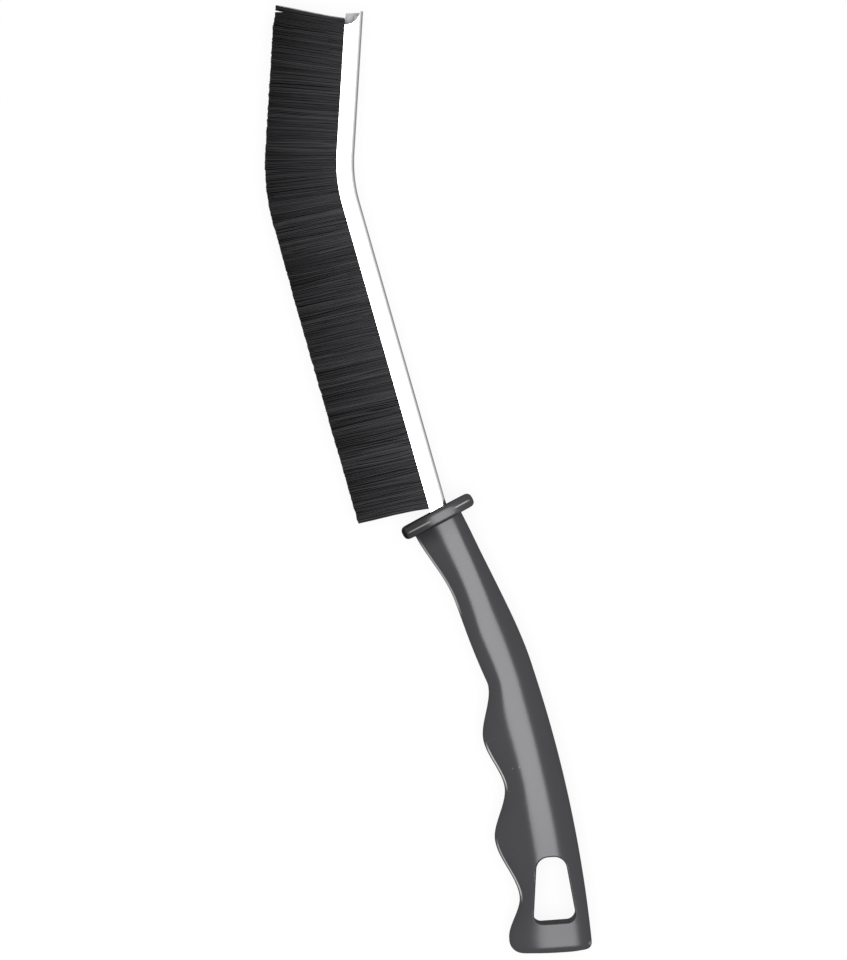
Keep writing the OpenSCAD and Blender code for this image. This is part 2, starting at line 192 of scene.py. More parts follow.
def spine(s):
    """The spine's point at a distance s from the collar's middle."""
    if s <= RIM_R:
        return collar_middle + s * down(COLLAR_LEAN)
    if s <= NECK_END_AT:
        return arc_to(neck_start, COLLAR_LEAN, lean_at(s), s - RIM_R)
    return arc_to(neck_end, NECK_LEAN, lean_at(s), s - NECK_END_AT)


def finger_reach(s):
    """How far the grip reaches from its spine on the finger side."""
    if s < WAIST_END_AT:
        return easing(s, RIM_R, NECK_END_AT, FINGER_COLLAR, FINGER_WAIST)
    if s < NOTCH_AT:
        t = (s - WAIST_END_AT) / (NOTCH_AT - WAIST_END_AT)
        return FINGER_WAIST + (FINGER_NOTCH - FINGER_WAIST) * t * t
    return along(FINGER_MARKS, s)


def back_reach(s):
    """How far the grip reaches from its spine on the back."""
    if s < NOTCH_AT:
        return easing(s, RIM_R + BACK_STRAIGHT, NOTCH_AT, BACK_NECK, BACK_NOTCH)
    return BACK_NOTCH + (BACK_END - BACK_NOTCH) * (s - NOTCH_AT) / (END_AT - NOTCH_AT)


def half_height(s):
    """How far the grip reaches up from its middle plane, and down as well."""
    if s < FIRST_HOLLOW_AT:
        return easing(s, NECK_END_AT, FIRST_HOLLOW_AT, NECK_HALF, PALM_HALF)
    return easing(s, FIRST_HOLLOW_AT, END_AT, PALM_HALF, END_HALF)


def corner_cut(s, r):
    """What a corner of radius r at the end of the grip takes off a reach."""
    d = max(0.0, s - END_AT + r)
    return r - math.sqrt(max(0.0, r * r - d * d))


def skin_height(s, x, reach, half):
    """Height of the skin at x from the crown: a flat crown, then an even slope, then a rounded edge."""
    band = along(BAND_MARKS, s) / 2
    steepening = min(x, band * math.sqrt(FLANK_SLOPE / BAND_SLOPE))
    drop = BAND_SLOPE * steepening ** 3 / (3 * band ** 2) + FLANK_SLOPE * (x - steepening)
    drop *= min(1.0, half / NECK_HALF)
    edge = (1 - min(1.0, x / reach) ** EDGE_POWER) ** (1 / EDGE_POWER)
    return (half - min(drop, DEEPEST_DROP * half)) * edge


def quarter(s, reach, half, count):
    """Evenly spaced points on the skin from the edge up to the crown, as pairs of reach and height."""
    shares = [math.cos(math.pi / 2 * k / SECTION_SAMPLES) for k in range(SECTION_SAMPLES + 1)]
    samples = [Vector((reach * q, skin_height(s, reach * q, reach, half))) for q in shares]
    marks = [0.0]
    for a, b in zip(samples, samples[1:]):
        marks.append(marks[-1] + (b - a).length)
    points, k = [], 0
    for i in range(count):
        wanted = marks[-1] * i / count
        while marks[k + 1] < wanted:
            k += 1
        points.append(samples[k].lerp(samples[k + 1], (wanted - marks[k]) / (marks[k + 1] - marks[k])))
    return points


def section(s, finger, back, half):
    """A ring of points square to the spine, from the back round over the crown and under."""
    crown = along(CROWN_MARKS, s)
    near = quarter(s, back - crown, half, SECTION_SIDES // 4)
    far = quarter(s, finger + crown, half, SECTION_SIDES // 4)
    top = Vector((0, half))
    flat = near + [top] + [Vector((-q.x, q.y)) for q in reversed(far[1:])]
    flat += [Vector((-far[0].x, 0))] + [Vector((-q.x, -q.y)) for q in far[1:]]
    flat += [-top] + [Vector((q.x, -q.y)) for q in reversed(near[1:])]
    return [spine(s) + (crown + q.x) * across(lean_at(s)) + Vector((0, 0, q.y)) for q in flat]


def grip_reaches(s, flare=0.0):
    """How far the skin reaches to the fingers, to the back and up, with its corners at the end."""
    return (
        finger_reach(s) + flare - corner_cut(s, HEEL_R),
        back_reach(s) + flare - corner_cut(s, BACK_R),
        half_height(s) + flare - corner_cut(s, END_EDGE_R),
    )


def loft(bm, sections):
    """Rings whose corners lie on the sections, joined in turn by bridges and closed at both ends.
    Gives the corners of each ring in the order of its section."""
    rings, loops = [], []
    for points in sections:
        ring = [None] * len(points)
        for corner in bmesh.ops.create_circle(bm, segments=len(points), radius=1)["verts"]:
            turn = round(math.atan2(corner.co.y, corner.co.x) / (2 * math.pi) * len(points))
            ring[turn % len(points)] = corner
        for corner, point in zip(ring, points):
            corner.co = point
        rings.append(ring)
        loops.append(list(dict.fromkeys(e for corner in ring for e in corner.link_edges)))
    for a, b in zip(loops, loops[1:]):
        bmesh.ops.bridge_loops(bm, edges=a + b)
    for loop in (loops[0], loops[-1]):
        bmesh.ops.edgeloop_fill(bm, edges=loop)
    bmesh.ops.recalc_face_normals(bm, faces=bm.faces)
    return rings


def put_in_scene(name, data):
    thing = bpy.data.objects.new(name, data)
    bpy.context.scene.collection.objects.link(thing)
    return thing


def set_down(bm, name):
    """Turns a mesh drawn in millimetres into an object in the shared frame, with smooth shading."""
    bmesh.ops.scale(bm, vec=(MM, MM, MM), verts=bm.verts)
    bmesh.ops.translate(bm, vec=DRAWING_ORIGIN, verts=bm.verts)
    for face in bm.faces:
        face.smooth = True
    mesh = bpy.data.meshes.new(name)
    bm.to_mesh(mesh)
    bm.free()
    return put_in_scene(name, mesh)


def cut_away(piece, cutters):
    """Takes the cutters out of a piece for good."""
    for cutter in cutters:
        cut = piece.modifiers.new(cutter.name, "BOOLEAN")
        cut.operation = "DIFFERENCE"
        cut.solver = "EXACT"
        cut.object = cutter
    bpy.context.view_layer.update()
    evaluated = piece.evaluated_get(bpy.context.evaluated_depsgraph_get())
    finished = bpy.data.meshes.new_from_object(evaluated)
    piece.modifiers.clear()
    piece.data = finished
    for cutter in cutters:
        bpy.data.objects.remove(cutter)


def rounded_corner(before, corner, after, r, steps):
    """Points of an arc of radius r in the corner of an outline."""
    a = (before - corner).normalized()
    b = (after - corner).normalized()
    half = a.angle(b) / 2
    centre = corner + (a + b).normalized() * r / math.sin(half)
    start = corner + a * r / math.tan(half) - centre
    end = corner + b * r / math.tan(half) - centre
    turn = start.angle_signed(end)
    return [centre + Matrix.Rotation(-turn * k / steps, 2) @ start for k in range(steps + 1)]


def collar_section(t):
    """A ring of the collar, a flat oval disc, at an angle t round its rim. The rim is fuller on the
    broad sides than at the two ends."""
    squash = 2 / COLLAR_FULLNESS
    ring = []
    for k in range(SECTION_SIDES):
        angle = 2 * math.pi * k / SECTION_SIDES
        broad = math.sin(angle) ** 2
        power = 2 / (RIM_POWER + (TOP_RIM_POWERS[t > math.pi / 2] - RIM_POWER) * broad)
        s = math.copysign(RIM_R * abs(math.cos(t)) ** power, -math.cos(t))
        inset = RIM_R * (1 - math.sin(t) ** power)
        side = -1 if math.cos(angle) < 0 else 1
        reach = COLLAR_FINGER if side < 0 else COLLAR_BACK
        x = side * (reach - inset) * abs(math.cos(angle)) ** squash + COLLAR_SKEW * abs(math.sin(angle))
        z = (COLLAR_HALF - inset) * math.copysign(abs(math.sin(angle)) ** squash, math.sin(angle))
        ring.append(spine(s) + x * across(lean_at(s)) + Vector((0, 0, z)))
    return ring


def handle_sections():
    """The handle's rings: round the collar's rim, then its fillet, the grip and the grip's end."""
    sections = [collar_section(math.pi * k / RIM_RINGS) for k in range(RIM_RINGS + 1)]
    for k in range(FILLET_RINGS + 1):
        t = math.pi / 2 * k / FILLET_RINGS
        s = RIM_R + COLLAR_FILLET * (1 - math.cos(t))
        sections.append(section(s, *grip_reaches(s, COLLAR_FILLET * (1 - math.sin(t)))))
    start = RIM_R + COLLAR_FILLET
    corner_start = END_AT - max(HEEL_R, BACK_R, END_EDGE_R)
    count = math.ceil((corner_start - start) / RING_STEP)
    for k in range(1, count + 1):
        s = start + (corner_start - start) * k / count
        sections.append(section(s, *grip_reaches(s)))
    for k in range(1, CORNER_RINGS):
        s = corner_start + (END_AT - corner_start) * math.sin(math.pi / 2 * k / CORNER_RINGS)
        sections.append(section(s, *grip_reaches(s)))
    for k in range(END_RINGS):
        share = 1 - k / END_RINGS
        s = END_AT + END_BULGE * (1 - share * share)
        reaches = (FINGER_MARKS[-1][1] - HEEL_R, BACK_END - BACK_R, END_HALF - END_EDGE_R)
        ring = section(END_AT, *reaches)
        middle = spine(END_AT) + along(CROWN_MARKS, END_AT) * across(END_LEAN)
        sections.append([middle + share * (q - middle) + (s - END_AT) * down(END_LEAN) for q in ring])
    return sections


def place_on_grip(x, y):
    """How far along the spine a point of the drawing lies, and how far to the back of it."""
    s = END_AT / 2
    for _ in range(PLACING_TRIES):
        s += (Vector((x, y, 0)) - spine(s)).dot(down(lean_at(s)))
    return s, (Vector((x, y, 0)) - spine(s)).dot(across(lean_at(s)))


def surface_height(x, y):
    """Height of the grip's skin over its middle plane at a point of the drawing."""
    s, u = place_on_grip(x, y)
    s = min(s, END_AT)
    crown = along(CROWN_MARKS, s)
    finger, back, half = grip_reaches(s)
    return skin_height(s, abs(u - crown), finger + crown if u < crown else back - crown, half)


def eye_outline(grow):
    """The eye's outline in the drawing, grown outwards by an amount."""
    corners = [
        Vector((EYE_SHIFT - EYE_BOTTOM_W / 2 - grow, EYE_BAR - grow)),
        Vector((EYE_SHIFT + EYE_BOTTOM_W / 2 + grow, EYE_BAR - grow)),
        Vector((EYE_SHIFT + EYE_TOP_W / 2 + grow, EYE_BAR + EYE_LENGTH + grow)),
        Vector((EYE_SHIFT - EYE_TOP_W / 2 - grow, EYE_BAR + EYE_LENGTH + grow)),
    ]
    radii = [EYE_BOTTOM_R, EYE_BOTTOM_R, EYE_TOP_R, EYE_TOP_R]
    points = []
    for i, (corner, r) in enumerate(zip(corners, radii)):
        points += rounded_corner(corners[i - 1], corner, corners[(i + 1) % 4], r + grow, EYE_CORNER_STEPS)
    turn = Matrix.Rotation(math.radians(END_LEAN), 2)
    end = spine(END_AT)
    return [turn @ p + Vector((end.x, end.y)) for p in points]


def eye_cutter():
    """A plug, a little wider underneath, that flares where it meets the skin and so rounds the edges."""
    bm = bmesh.new()
    turns = [math.radians(angle) for angle in range(0, 90, EYE_FLARE_STEP)]
    levels = [((1 - math.cos(t)) * EYE_EDGE_R, (math.sin(t) - 1) * EYE_EDGE_R) for t in turns]
    levels.append((levels[-1][0] + EYE_EDGE_R, levels[-1][1] + PLUG_STANDS_OUT))

    def level(grow, drop, top):
        return [Vector((p.x, p.y, top * (surface_height(p.x, p.y) + drop))) for p in eye_outline(grow)]

    sections = [level(grow + EYE_DRAFT, drop, -1) for grow, drop in reversed(levels)]
    sections += [level(grow, drop, 1) for grow, drop in levels]
    loft(bm, sections)
    return set_down(bm, "eye_cutter")


BLUE_CAST = 1.08


class Socket:
    """One output of a material's node. Python's operators on it add Math nodes."""

    def __init__(self, finish, output):
        self.finish = finish
        self.output = output

    def __add__(self, other):
        return self.finish.math("ADD", self, other)

    def __radd__(self, other):
        return self.finish.math("ADD", other, self)

    def __sub__(self, other):
        return self.finish.math("SUBTRACT", self, other)

    def __rsub__(self, other):
        return self.finish.math("SUBTRACT", other, self)

    def __mul__(self, other):
        return self.finish.math("MULTIPLY", self, other)


class Finish:
    """A material or a world put together from nodes. Its greys lean a little to blue."""

    def __init__(self, holder):
        self.holder = holder
        self.holder.use_nodes = True
        self.tree = self.holder.node_tree
        self.tree.nodes.clear()

    def node(self, kind, settings, inputs, output=0):
        made = self.tree.nodes.new(kind)
        for key, value in settings.items():
            if key == "stops":
                self.set_stops(made.color_ramp, value)
            else:
                setattr(made, key, value)
        for key, value in inputs.items():
            if isinstance(value, Socket):
                self.tree.links.new(value.output, made.inputs[key])
            else:
                made.inputs[key].default_value = value
        return Socket(self, made.outputs[output]) if len(made.outputs) else None

    def set_stops(self, ramp, stops):
        while len(ramp.elements) < len(stops):
            ramp.elements.new(0.5)
        for element, (position, level) in zip(ramp.elements, stops):
            element.position = position
            element.color = (level, level, min(1.0, BLUE_CAST * level), 1)

    def math(self, operation, a, b):
        return self.node("ShaderNodeMath", {"operation": operation}, {0: a, 1: b})

    def place(self):
        return self.node("ShaderNodeTexCoord", {}, {}, "Object")

    def stretched(self, scale):
        return self.node("ShaderNodeMapping", {}, {"Vector": self.place(), "Scale": scale})

    def noise(self, vector, scale, detail, roughness=0.5):
        inputs = {"Vector": vector, "Scale": scale, "Detail": detail, "Roughness": roughness}
        return self.node("ShaderNodeTexNoise", {}, inputs, "Fac")

    def ramp(self, fac, stops):
        return self.node("ShaderNodeValToRGB", {"stops": stops}, {"Fac": fac})

    def blend(self, fac, a, b):
        return self.node("ShaderNodeMix", {"data_type": "RGBA"}, {0: fac, 6: a, 7: b}, 2)

    def mark(self, name):
        return self.node("ShaderNodeAttribute", {"attribute_name": name}, {}, "Fac")

    def bump(self, height, strength, distance):
        inputs = {"Height": height, "Strength": strength, "Distance": distance}
        return self.node("ShaderNodeBump", {}, inputs)

    def principled(self, **inputs):
        named = {key.replace("_", " "): value for key, value in inputs.items()}
        return self.node("ShaderNodeBsdfPrincipled", {}, named)

    def surface(self, shader):
        self.node("ShaderNodeOutputMaterial", {}, {"Surface": shader})
        return self.holder


PLASTIC_DARK = (0.026, 0.026, 0.0282, 1)
PLASTIC_LIGHT = (0.034, 0.034, 0.037, 1)
HIGHLIGHT_PALE = (0.8, 0.8, 0.8, 1)
GLOSS_TINT = (0.97, 0.97, 1, 1)
PLASTIC_GLOSS = 0.043
HANDLE_CREASE = 38.0

# Painted highlights, pale lines along the grip's finger side: from and to along the spine, how pale, how
# far in, how wide.
# Painted highlights, pale lines along the collar's rim: from and to across the spine, and where on the rim.
# Pale spots:
# places along and across the spine, size, and how pale.
PAINTED_HIGHLIGHT_LINES = [(2.5, 29.0, 0.5, 0.33, 1.5), (66.0, 81.5, 0.9, 0.56, 1.0), (94.5, 114.0, 0.8, 0.53, 1.0)]
HIGHLIGHT_LINE_FADE = 3.0
RIM_HIGHLIGHT_LINES = [(-10.2, -2.4, 0.22), (4.6, 10.0, 0.05)]
RIM_HIGHLIGHT_SHARE = 0.5
RIM_EDGE = RIM_R - 0.01
SPOTS = [(127.2, 10.6, 0.7, 0.2), (75.2, -4.1, 0.5, 0.12), (75.0, -2.3, 0.5, 0.12)]

# Painted highlights, pale spots and painted shade show on the upper side only. The neck is scuffed just
# behind the collar, the grip near its end.
UPPER_FROM = 1.0
UPPER_FADE = 1.5
SCUFFED = (104.0, 124.0)
NECK_SCUFF = 0.8
NECK_SCUFF_AND_SHADE_END = 8.0

# Painted shade deepens towards the finger side: from and to across the spine, and how dark at each.
COLLAR_END_SHADE = (9.9, 10.8, 0.0, 0.85)
COLLAR_RIM_SHADE = (1.0, 4.0, 0.0, 0.33)
NECK_SHADE_ACROSS = (0.5, 4.0, 0.0, 1.0)
NECK_SHADE = 0.5


def grip_plastic():
    """Satin dark grey plastic with faint grain and flow marks, pale spots, painted highlight lines and
    painted shade.
    """
    finish = Finish(bpy.data.materials.new("grip_plastic"))
    flow = finish.noise(finish.stretched((60, 14, 60)), 1.0, 3)
    grain = finish.noise(finish.place(), 5200, 2)
    dust = finish.noise(finish.place(), 900, 4, 0.6)
    tone = finish.ramp(flow * 0.7 + dust * 0.3, [(0.3, 0.0), (0.7, 1.0)])
    moulded = finish.blend(tone, PLASTIC_DARK, PLASTIC_LIGHT)
    # Painted highlights: pale lines along the edges and the collar's crest, and pale spots.
    line = finish.ramp(finish.mark("rub_line"), [(0.22, 0.0), (0.4, 1.0), (0.6, 1.0), (0.78, 0.0)])
    highlight_share = line * finish.mark("rubbed") * (0.7 + dust * 0.5)
    # Painted shade darkens the colour towards black and takes away the gloss as well.
    unshaded = 1.0 - finish.mark("grime")
    colour = finish.blend(unshaded, (0, 0, 0, 1), finish.blend(highlight_share, moulded, HIGHLIGHT_PALE))
    roughness = 0.21 + flow * 0.05 + dust * 0.03 + finish.mark("scuffed") * 0.07
    normal = finish.bump(grain, 0.06, 0.00002)
    body = finish.principled(Base_Color=colour, Roughness=roughness, Normal=normal, Specular_IOR_Level=0.0)
    gloss = finish.principled(Base_Color=GLOSS_TINT, Metallic=1.0, Roughness=roughness, Normal=normal)
    share = unshaded * PLASTIC_GLOSS
    return finish.surface(finish.node("ShaderNodeMixShader", {}, {0: share, 1: body, 2: gloss}))


def painted_shade_at(s, u):
    """How much painted shade darkens the skin on the collar's finger end and in the corner behind it."""
    if s < -RIM_EDGE:
        return 0.0
    if s < RIM_R:
        return max(easing(-u, *COLLAR_END_SHADE), easing(-u, *COLLAR_RIM_SHADE))
    return easing(s, RIM_R, NECK_SCUFF_AND_SHADE_END, NECK_SHADE, 0.0) * easing(-u, *NECK_SHADE_ACROSS)


def painted_marks_at(place):
    """How strong the painted highlight lines and pale spots are on the skin, where it lies across the
    highlight line, whose middle is 0.5, how scuffed it is, and how much painted shade it gets."""
    point = (place - DRAWING_ORIGIN) / MM
    s, u = place_on_grip(point.x, point.y)
    shown = min(1.0, max(0.0, (point.z - UPPER_FROM) / UPPER_FADE))
    scuffed = max(easing(s, *SCUFFED, 0.0, 1.0), easing(s, RIM_R, NECK_SCUFF_AND_SHADE_END, NECK_SCUFF, 0.0))
    grime = shown * painted_shade_at(s, u)
    for spot_s, spot_u, size, share in SPOTS:
        if math.hypot(s - spot_s, u - spot_u) < size:
            return share * shown, 0.5, scuffed, grime
    if abs(s) < RIM_EDGE:
        a, b, line_at = RIM_HIGHLIGHT_LINES[u > 0]
        rubbed = RIM_HIGHLIGHT_SHARE * shown * max(0.0, min(1.0, u - a, b - u))
        return rubbed, 0.5 + s - line_at, scuffed, grime
    for a, b, share, depth, width in PAINTED_HIGHLIGHT_LINES:
        if a < s < b:
            rubbed = shown * share * min(1.0, (s - a) / HIGHLIGHT_LINE_FADE, (b - s) / HIGHLIGHT_LINE_FADE)
            return rubbed, 0.5 + (u + finger_reach(s) - depth) / width, scuffed, grime
    return 0.0, 0.0, scuffed, grime


bm = bmesh.new()
loft(bm, handle_sections())
handle = set_down(bm, "handle_grip")
cut_away(handle, [eye_cutter()])
handle.data.materials.append(grip_plastic())
handle.data.set_sharp_from_angle(angle=math.radians(HANDLE_CREASE))
# The painted highlights, pale spots, scuffs and painted shade are stored on the handle's points.
painted_marks = [painted_marks_at(vertex.co) for vertex in handle.data.vertices]
for name, values in zip(("rubbed", "rub_line", "scuffed", "grime"), zip(*painted_marks)):
    handle.data.attributes.new(name, "FLOAT", "POINT").data.foreach_set("value", values)
even = handle.modifiers.new("even_shading", "WEIGHTED_NORMAL")
even.keep_sharp = True
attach(handle, "root")
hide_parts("handle")

# The strip is one sheet of zinc plated steel, folded into a channel with a round back, bent once and
# cut off askew at its tip. A round bite in the near wall at the tip shows the far wall behind it.
STRIP_W = 4.6
SHEET_T = 0.5
FOLD_R = 1.3
FOLD_STEPS = 8
REAR_RUN = 90.0
FRONT_RUN = 40.0
BEND_ANGLE = 19.5
BEND_R = 43.5
BEND_STEPS = 40
TIP_SLANT = 6.0
TIP_BITE_R = 4.1
TIP_REACH = 0.45
ANCHOR_R = 1.1
ANCHOR_INSET = 5.0
SHEET_EDGE_R = 0.08
BITE_SIDES = 96
ANCHOR_SIDES = 48
STRIP_CREASE = 35.0
BROKEN_EDGE = 50.0

# Painted shade: the plating is painted grey round the back of the fold, and the inside of the channel a
# darker grey.
FOLD_SHADE_FROM = 1.68
FOLD_SHADE_FADE = 0.6
ZINC_SOFT = (0.80, 0.805, 0.81, 1)
ZINC_BRIGHT = (0.93, 0.93, 0.935, 1)
FOLD_SHADE_GREY = (0.17, 0.17, 0.175, 1)
INNER_SHADE_DARK = (0.38, 0.38, 0.385, 1)
INNER_SHADE_LIGHT = (0.6, 0.6, 0.605, 1)

HALF_H = STRIP_H / 2
BEND_LENGTH = BEND_R * math.radians(BEND_ANGLE)
BEND_END = REAR_RUN + BEND_LENGTH
PATH_END = BEND_END + FRONT_RUN
BEND_CENTRE = Vector((BEND_R, REAR_RUN, 0))


def turned(p):
    """How far the strip has turned at a distance p along it, in radians."""
    return math.radians(BEND_ANGLE) * min(1.0, max(0.0, (p - REAR_RUN) / BEND_LENGTH))


def forward(p):
    """The strip's direction towards its tip at a distance p along it."""
    return Vector((math.sin(turned(p)), math.cos(turned(p)), 0))


def on_path(p, u, z):
    """The point at a distance p along the strip, u towards the filaments and z up."""
    outward = Vector((-math.cos(turned(p)), math.sin(turned(p)), 0))
    straight = p - REAR_RUN if p < REAR_RUN else max(0.0, p - BEND_END)
    return BEND_CENTRE + (BEND_R + u) * outward + straight * forward(p) + Vector((0, 0, z))


def sheet_outline():
    """The folded sheet's outline: depth from the middle towards the filaments, and height."""
    def face(depth):
        mouth, back, half_w = HALF_H, -(HALF_H - depth), STRIP_W / 2 - depth
        places = ((mouth, -half_w), (back, -half_w), (back, half_w), (mouth, half_w))
        corners = [Vector(place) for place in places]
        points = [corners[0]]
        points += rounded_corner(corners[0], corners[1], corners[2], FOLD_R - depth, FOLD_STEPS)
        points += rounded_corner(corners[1], corners[2], corners[3], FOLD_R - depth, FOLD_STEPS)
        return points + [corners[3]]

    return face(0) + list(reversed(face(SHEET_T)))


def zinc_steel():
    """Bright zinc plated steel with fine drawing lines and soft stains, and painted shade in grey round the
    fold's back.
    """
    finish = Finish(bpy.data.materials.new("zinc_steel"))
    lines = finish.noise(finish.stretched((2600, 60, 2600)), 1.0, 3, 0.6)
    stain = finish.noise(finish.place(), 120, 3)
    plating = finish.blend(stain, ZINC_SOFT, ZINC_BRIGHT)
    colour = finish.blend(finish.mark("fold_wear") * (0.75 + lines * 0.4), plating, FOLD_SHADE_GREY)
    roughness = 0.12 + lines * 0.08 + stain * 0.06
    normal = finish.bump(lines, 0.35, 0.00002)
    return finish.surface(
        finish.principled(Base_Color=colour, Roughness=roughness, Metallic=1.0, Normal=normal)
    )


def painted_shade_steel():
    """The inside of the fold, painted a darker, duller grey for the shade inside the channel."""
    finish = Finish(bpy.data.materials.new("painted_shade_steel"))
    shade_mottle = finish.noise(finish.stretched((900, 90, 900)), 1.0, 4, 0.6)
    colour = finish.blend(shade_mottle, INNER_SHADE_DARK, INNER_SHADE_LIGHT)
    return finish.surface(finish.principled(Base_Color=colour, Roughness=0.6 + shade_mottle * 0.2, Metallic=0.15))


outline = sheet_outline()
stations = [-TANG_LENGTH, REAR_RUN]
stations += [REAR_RUN + BEND_LENGTH * k / BEND_STEPS for k in range(1, BEND_STEPS + 1)]
sections = [[on_path(p, point.x, point.y) for point in outline] for p in stations]

# The sheet's last ring slides along the strip onto the slanted cut at the tip.
tip = on_path(PATH_END + TIP_REACH, -HALF_H, 0)
ahead = forward(PATH_END)
askew = Matrix.Rotation(math.radians(TIP_SLANT) - turned(PATH_END), 3, "Z") @ Vector((0, 1, 0))
sections.append([corner + ahead * (tip - corner).dot(askew) / ahead.dot(askew) for corner in sections[-1]])
bm = bmesh.new()
inside = bm.verts.layers.int.new("inside")
fold_wear = bm.verts.layers.float.new("fold_wear")
# Each corner records how far it lies into the painted shade round the fold's back, and whether it is
# inside.
for ring in loft(bm, sections):
    for corner, point in zip(ring, outline):
        corner[fold_wear] = min(1.0, max(0.0, (-point.x - FOLD_SHADE_FROM) / FOLD_SHADE_FADE))
    for corner in ring[len(ring) // 2:]:
        corner[inside] = 1
# Faces inside the channel take the second material, painted darker for shade.
for face in bm.faces:
    face.material_index = int(len(face.verts) == 4 and all(corner[inside] for corner in face.verts))
strip = set_down(bm, "steel_channel")
strip.data.materials.append(zinc_steel())
strip.data.materials.append(painted_shade_steel())

bm = bmesh.new()
bmesh.ops.create_cone(
    bm, cap_ends=True, segments=BITE_SIDES, radius1=TIP_BITE_R, radius2=TIP_BITE_R, depth=STRIP_W,
    matrix=Matrix.Translation(on_path(PATH_END + TIP_REACH, HALF_H, STRIP_W / 2)),
)
bite = set_down(bm, "bite_cutter")
bm = bmesh.new()
bmesh.ops.create_cone(
    bm, cap_ends=True, segments=ANCHOR_SIDES, radius1=ANCHOR_R, radius2=ANCHOR_R, depth=2 * STRIP_W,
    matrix=Matrix.Translation(on_path(ANCHOR_INSET - TANG_LENGTH, 0, 0)),
)
anchor = set_down(bm, "anchor_cutter")
cut_away(strip, [bite, anchor])
strip.data.set_sharp_from_angle(angle=math.radians(STRIP_CREASE))
edge = strip.modifiers.new("edge", "BEVEL")
edge.width = SHEET_EDGE_R * MM
edge.segments = 2
edge.limit_method = "ANGLE"
edge.angle_limit = math.radians(BROKEN_EDGE)
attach(strip, "root")
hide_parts("steel_strip")

# The core wire is a round steel wire that the filaments are folded over before the sheet is crimped
# on them. It runs the length of the channel and ends just inside the tip.
WIRE_R = 0.8
WIRE_SEAT = 2.0
WIRE_INSET = 0.8
FOLD_LAYER = 0.6
WIRE_ROUNDING = 6
WIRE_CREASE = 50.0
WIRE_DARK = (0.34, 0.34, 0.345, 1)
WIRE_LIGHT = (0.48, 0.48, 0.485, 1)

CHANNEL_U = SHEET_T - HALF_H
WIRE_U = CHANNEL_U + FOLD_LAYER + WIRE_R


def wire_steel():
    """Plain drawn steel wire, in a dull grey close to that of the inside of the fold."""
    finish = Finish(bpy.data.materials.new("wire_steel"))
    lines = finish.noise(finish.stretched((3000, 80, 3000)), 1.0, 2)
    colour = finish.blend(lines, WIRE_DARK, WIRE_LIGHT)
    return finish.surface(finish.principled(Base_Color=colour, Roughness=0.6 + lines * 0.15, Metallic=0.15))


def tube_piece(name, routes, radius, rounding):
    """Tubes along lists of points given in millimetres, made from one curve and turned into a mesh."""
    curve = bpy.data.curves.new(name, "CURVE")
    curve.dimensions = "3D"
    curve.bevel_depth = radius * MM
    curve.bevel_resolution = rounding
    curve.use_fill_caps = True
    for route in routes:
        spline = curve.splines.new("POLY")
        spline.points.add(len(route) - 1)
        places = [DRAWING_ORIGIN + MM * point for point in route]
        spline.points.foreach_set("co", [c for point in places for c in (*point, 1)])
    drawn = put_in_scene(name, curve)
    bpy.context.view_layer.update()
    mesh = bpy.data.meshes.new_from_object(drawn)
    bpy.data.objects.remove(drawn)
    bpy.data.curves.remove(curve)
    return put_in_scene(name, mesh)


wire_route = [on_path(-WIRE_SEAT, WIRE_U, 0)]
wire_route += [on_path(REAR_RUN + BEND_LENGTH * k / BEND_STEPS, WIRE_U, 0) for k in range(BEND_STEPS + 1)]
wire_route += [on_path(PATH_END - WIRE_INSET, WIRE_U, 0)]
wire = tube_piece("wire_core", [wire_route], WIRE_R, WIRE_ROUNDING)
wire.data.materials.append(wire_steel())
wire.data.shade_smooth()
wire.data.set_sharp_from_angle(angle=math.radians(WIRE_CREASE))
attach(wire, "root")
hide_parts("core_wire")

# The filaments are black crimped nylon, some thousands of single strands. Each is folded in half over
# the wire, so both of its ends stand out of the channel, and the whole row is trimmed to one length.
STRAND_R = 0.15
STRAND_ROUNDING = 0
PER_MM = 13
TIP_BARE = 1.7
COLLAR_BARE = 0.65
ROW_END = PATH_END - TIP_BARE

# The length that stands out of the strip, at places along it.
TRIM_MARKS = [(60.0, 20.6), (88.0, 20.4), (125.0, 20.3), (137.5, 20.3), (140.7, 19.85), (144.0, 19.8)]

# The strands lean towards the tip, in degrees, and the first ones bow where the collar pushes them.
REAR_LEAN = 3.0
FRONT_LEAN = -2.0
TIP_LEAN = 6.8
HEEL_BOW = 0.45
HEEL_LEAN = 1.0
HEEL_SPAN = 3.0

# Half the row's height at the strip's mouth and at its trimmed ends, and how the strands fill it.
MOUTH_SPREAD = 1.55
TIP_SPREAD = 2.45
SPREAD_POWER = 0.7

# The row is parted just short of the tip, and beside the bite the strands are folded further back.
PARTING = 1.4
PARTING_FROM = 0.8
PARTING_TILT = 0.31
PARTING_KICK = 0.4
PARTING_SPAN = 0.7
FOLD_BACK = 0.3
FOLD_BACK_JITTER = 1.0

# Waves along the row: size, pace, and the line through the noise that they are read from.
LEAN_WAVES = [(2.0, 0.31, 0.4, 4.7), (0.45, 1.7, 9.1, 0.3)]
TRIM_WAVE = (0.15, 0.8, 5.5, 1.0)
BOW_WAVE = (0.4, 0.6, 1.3, 8.8)
CURL_WAVE = (0.22, 0.9, 6.1, 2.4)
SHEEN_CLUSTER_WAVES = [(1.0, 0.9, 2.2, 7.0), (0.5, 3.1, 0.0, 3.0)]

# What each strand adds of its own, and how far from the ends and the parting the row is calmer.
LEAN_JITTER = 0.35
TRIM_JITTER = 0.1
BOW_JITTER = 0.15
CURL_JITTER = 0.06
TONE_JITTER = 0.1
DRIFT_FADE = 4.0
END_CALM = 2.0
PARTING_CALM = 1.5

